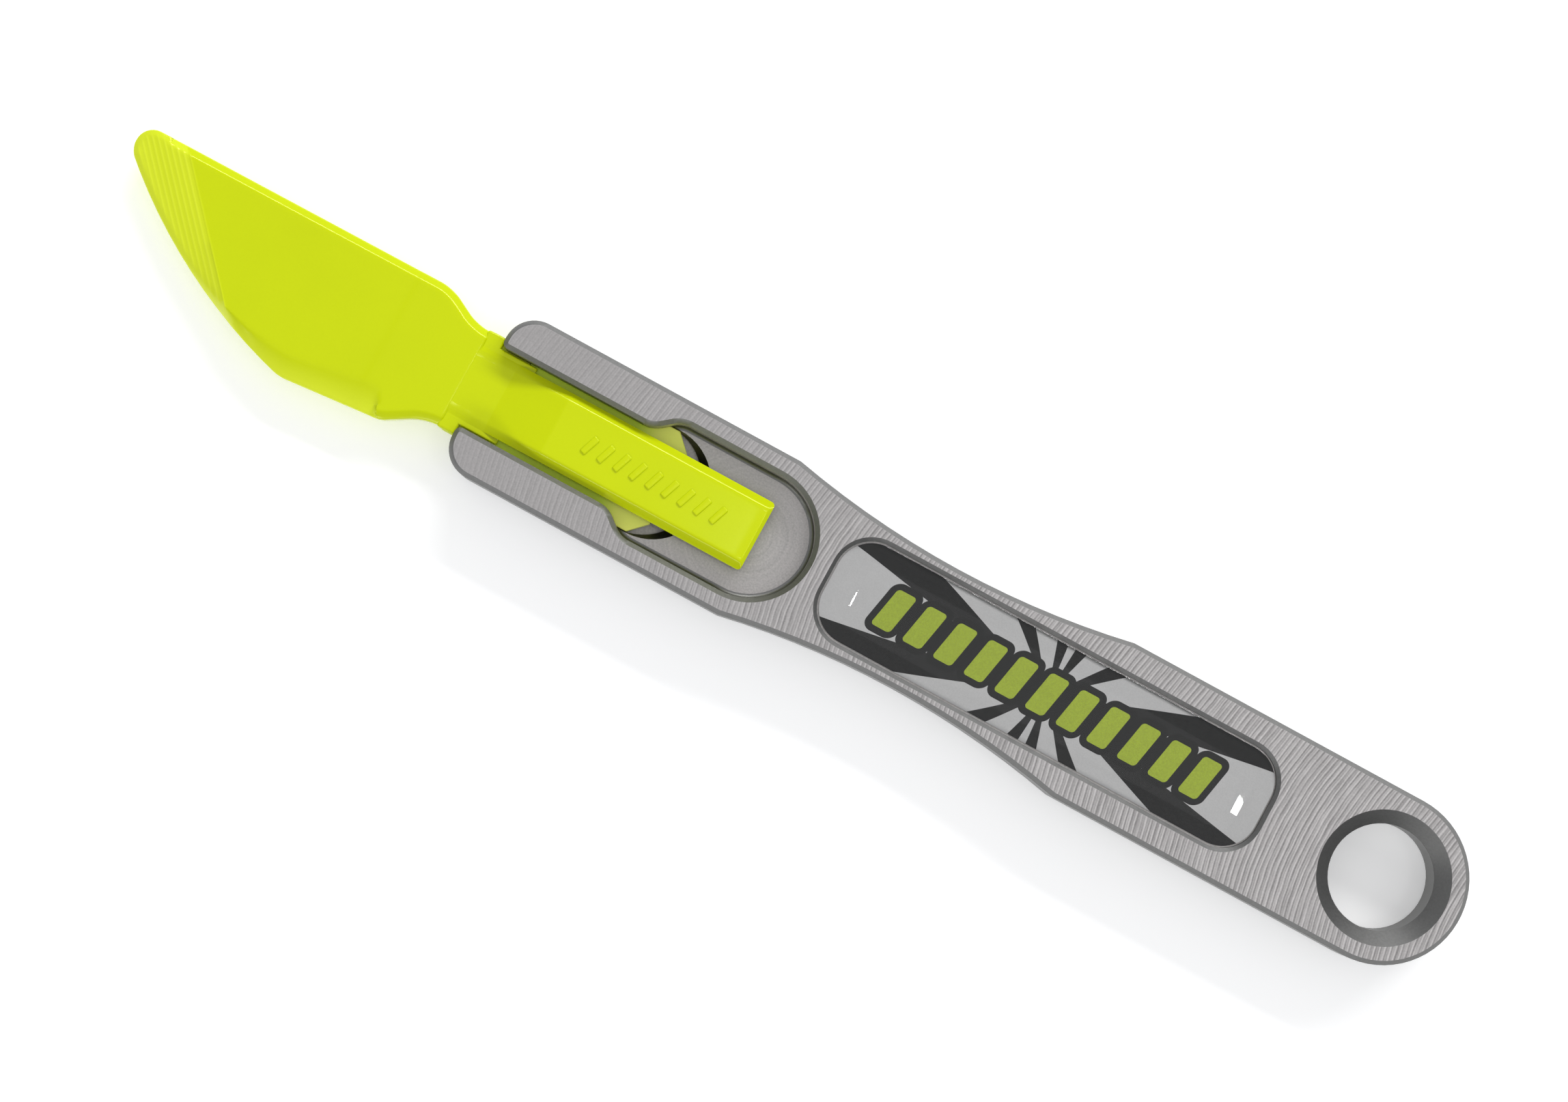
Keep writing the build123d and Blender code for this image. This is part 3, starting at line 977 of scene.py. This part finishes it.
def makeDome():
    size = labelSize
    bm, centre = labelPlan(domeLow, domeHigh)
    base, height = domeLow.z / mm, domeHigh.z / mm
    out = bmesh.ops.extrude_face_region(bm, geom=bm.faces[:], use_keep_orig=True)
    crown = [f for f in out["geom"] if isinstance(f, bmesh.types.BMFace)][0]
    rise = height - base - size["domeRim"]
    upper = set(crown.verts)
    for vert in bm.verts:
        vert.co.z = base + (size["domeRim"] if vert in upper else 0)
    done = 0.0
    for i in range(1, size["domeRings"] + 1):
        reach = size["domeReach"] * (i / size["domeRings"]) ** 1.6
        bmesh.ops.inset_region(
            bm, faces=[crown], thickness=reach - done, depth=0,
            use_even_offset=True, use_boundary=False,
        )
        done = reach
        share = min(reach / size["domeReach"], 1)
        for vert in crown.verts:
            full = 1 - (1 - share) ** size["domeFullness"]
            vert.co.z = base + size["domeRim"] + rise * full
    bmesh.ops.recalc_face_normals(bm, faces=bm.faces[:])
    dome = newPiece("labelDome", atCentre(bm, centre), clearResin())
    softShade(dome, 50)
    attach(dome, "handle")
    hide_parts("label_dome")
    print("dome ready,", len(dome.data.polygons), "faces")


# camera, floor and lights
studio = {
    "eye": (3.4, 20.0, 388.0),  # mm
    "target": (-0.02, 0.0, 8.0),
    "tilt": 28.62,  # degrees the tool leans across the view
    "lens": 69.45,
    "floorSize": 12.0,  # m
    "floorGlow": 0.3,
    "skyColour": (0.97, 0.98, 1.0, 1),
    "skyStrength": 0.56,
    "softboxes": {  # place and size in mm, power in W
        "top": ((-20, 0, 760), (700, 480), 0.28),
        "spineSide": ((-20, -640, 400), (760, 110), 4.4),
        "edgeSide": ((-20, 640, 400), (760, 110), 1.5),
        "labelTip": ((-4, -35, 760), (14, 8), 0.02),
        "labelHole": ((-295, -37, 760), (110, 8), 0.14),
    },
}


def aim(eye, target, right):
    back = (Vector(eye) - Vector(target)).normalized()
    side = (Vector(right) - back * back.dot(Vector(right))).normalized()
    turn = Matrix((side, back.cross(side), back)).transposed().to_4x4()
    return Matrix.Translation(Vector(eye) * mm) @ turn


def floorPaint():
    material, tree, shader, place = newMaterial("paleFloor", Roughness=0.9, Specular_IOR_Level=0.1)
    speck = useGroup(tree, grain, {"Vector": place, "Size": 0.004, "Contrast": 0.06})["Tone"]
    pale = finishes["floor"]
    colour = blendColours(tree, speck, shadeOf(pale, 0.99), shadeOf(pale, 1.01))
    tree.links.new(colour, shader.inputs["Base Color"])
    shader.inputs["Emission Color"].default_value = (1, 1, 1, 1)
    shader.inputs["Emission Strength"].default_value = studio["floorGlow"]
    return material


def makeStudio():
    scene = bpy.context.scene
    lean = radians(180 + studio["tilt"])
    lensData = bpy.data.cameras.new("camera")
    lensData.lens = studio["lens"]
    lensData.sensor_width = 36
    lensData.clip_start = 0.01
    camera = bpy.data.objects.new("camera", lensData)
    scene.collection.objects.link(camera)
    camera.matrix_world = aim(studio["eye"], studio["target"], (cos(lean), sin(lean), 0))
    scene.camera = camera
    scene.view_settings.view_transform = "Standard"

    bm = bmesh.new()
    bmesh.ops.create_grid(bm, x_segments=1, y_segments=1, size=studio["floorSize"] / 2)
    newPiece("floor", bm, floorPaint())

    for name, (place, size, power) in studio["softboxes"].items():
        lamp = bpy.data.lights.new(name, "AREA")
        lamp.shape = "RECTANGLE"
        lamp.size, lamp.size_y = size[0] * mm, size[1] * mm
        lamp.energy = power
        holder = bpy.data.objects.new(name, lamp)
        scene.collection.objects.link(holder)
        holder.matrix_world = aim(place, (0, 0, 0), (1, 0, 0))
    sky = bpy.data.worlds.new("sky")
    sky.use_nodes = True
    sky.node_tree.nodes["Background"].inputs["Color"].default_value = studio["skyColour"]
    sky.node_tree.nodes["Background"].inputs["Strength"].default_value = studio["skyStrength"]
    scene.world = sky
    print("studio ready")


grain = grainGroup()
feedMarks = feedMarkGroup()
makeStudio()
makeHandle()
makeBladeInsert()
armPlastic = limePlastic("armPlastic", deep=True)
makeSnapArm(1, "snapArmLeft", "snap_arm_left", "arm_left", armPlastic)
makeSnapArm(-1, "snapArmRight", "snap_arm_right", "arm_right", armPlastic)
makeLabelLayer("labelAdhesive", "label_adhesive", stickyLayer())
makeLabelLayer("labelFilm", "label_film", printedFilm())
makeDome()
